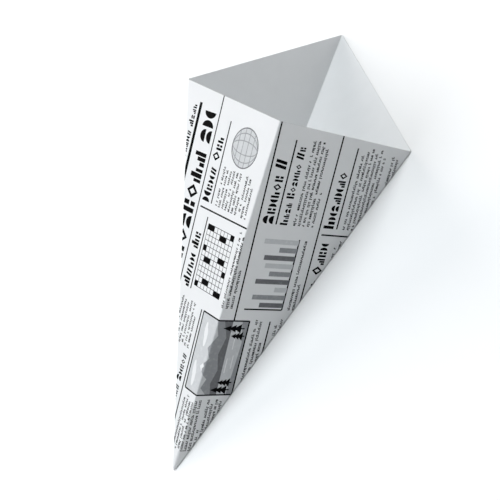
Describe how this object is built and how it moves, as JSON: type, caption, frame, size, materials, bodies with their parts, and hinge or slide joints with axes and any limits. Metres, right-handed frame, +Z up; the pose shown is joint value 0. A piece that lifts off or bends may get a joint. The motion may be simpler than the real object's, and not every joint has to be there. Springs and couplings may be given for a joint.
{
  "type": "paper cone",
  "caption": "Folded paper cone with flat panels, a straight-cut slanted rim and a glued back lap, printed outside with a plain newsprint pattern; holds hot snacks.",
  "frame": {"origin": "on the floor, under the middle of the box round the lying cone", "axes": "+Y along the middle of the panel it lies on, from the tip to the mouth; +Z up from the floor; +X to the side of the front crease"},
  "size_m": [0.0928, 0.2602, 0.0771],
  "materials": {
    "printed_paper": "smooth white card, printed outside in black and grey"
  },
  "bodies": {
    "root": {"paper_cone": "printed_paper"}
  },
  "joints": []
}
